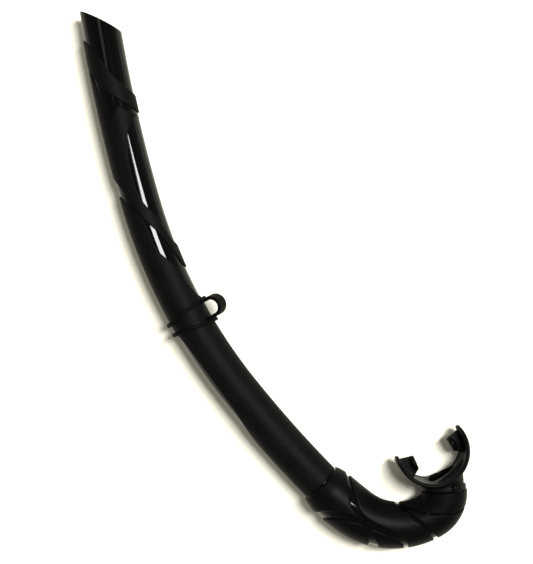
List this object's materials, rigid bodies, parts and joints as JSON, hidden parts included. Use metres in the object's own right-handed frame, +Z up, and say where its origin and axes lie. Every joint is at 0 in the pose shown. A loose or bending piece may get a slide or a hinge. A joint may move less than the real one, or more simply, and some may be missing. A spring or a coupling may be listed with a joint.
{
  "type": "freediving snorkel",
  "caption": "J-shaped freediving snorkel: slant-mouthed gloss tube with moulded soft bands, banded elbow, silicone mouthpiece with bite tabs and a sliding strap keeper.",
  "frame": {"origin": "centre of the bounding box's base: the snorkel lies on its side on the ground plane", "axes": "+Y along the barrel towards its open mouth (longest extent), +X towards the inside of the bend, where the mask strap goes, +Z up across the tube (shortest extent)"},
  "size_m": [0.2446, 0.3388, 0.0327],
  "materials": {
    "gloss_black": "polished",
    "soft_black": "matte",
    "silicone_black": "satin",
    "tie_black": "satin",
    "keeper_black": "satin"
  },
  "bodies": {
    "tube": {"barrel_tube": "gloss_black", "barrel_sleeve": "soft_black", "upper_band": "soft_black", "cross_band": "soft_black", "elbow_tube": "gloss_black", "elbow_collar": "soft_black", "elbow_long_wrap": "soft_black", "elbow_heel_wrap": "soft_black", "elbow_belly_wrap": "soft_black", "elbow_lower_end_wrap": "soft_black", "elbow_upper_end_wrap": "soft_black"},
    "mouthpiece": {"mouthpiece": "silicone_black", "mouthpiece_tie": "tie_black"},
    "keeper": {"keeper": "keeper_black"}
  },
  "joints": [
    {"name": "keeper_slide", "type": "hinge", "parent": "tube", "child": "keeper", "pos_m": [0.24547, 0.14402, 0.01625], "axis": [0, 0, 1], "range_deg": [-3.7, 6.7]},
    {"name": "mouthpiece_swivel", "type": "hinge", "parent": "tube", "child": "mouthpiece", "pos_m": [0.1079, -0.13242, 0.01625], "axis": [-0.0756, 0.9971, 0], "range_deg": [-40, 40]}
  ]
}
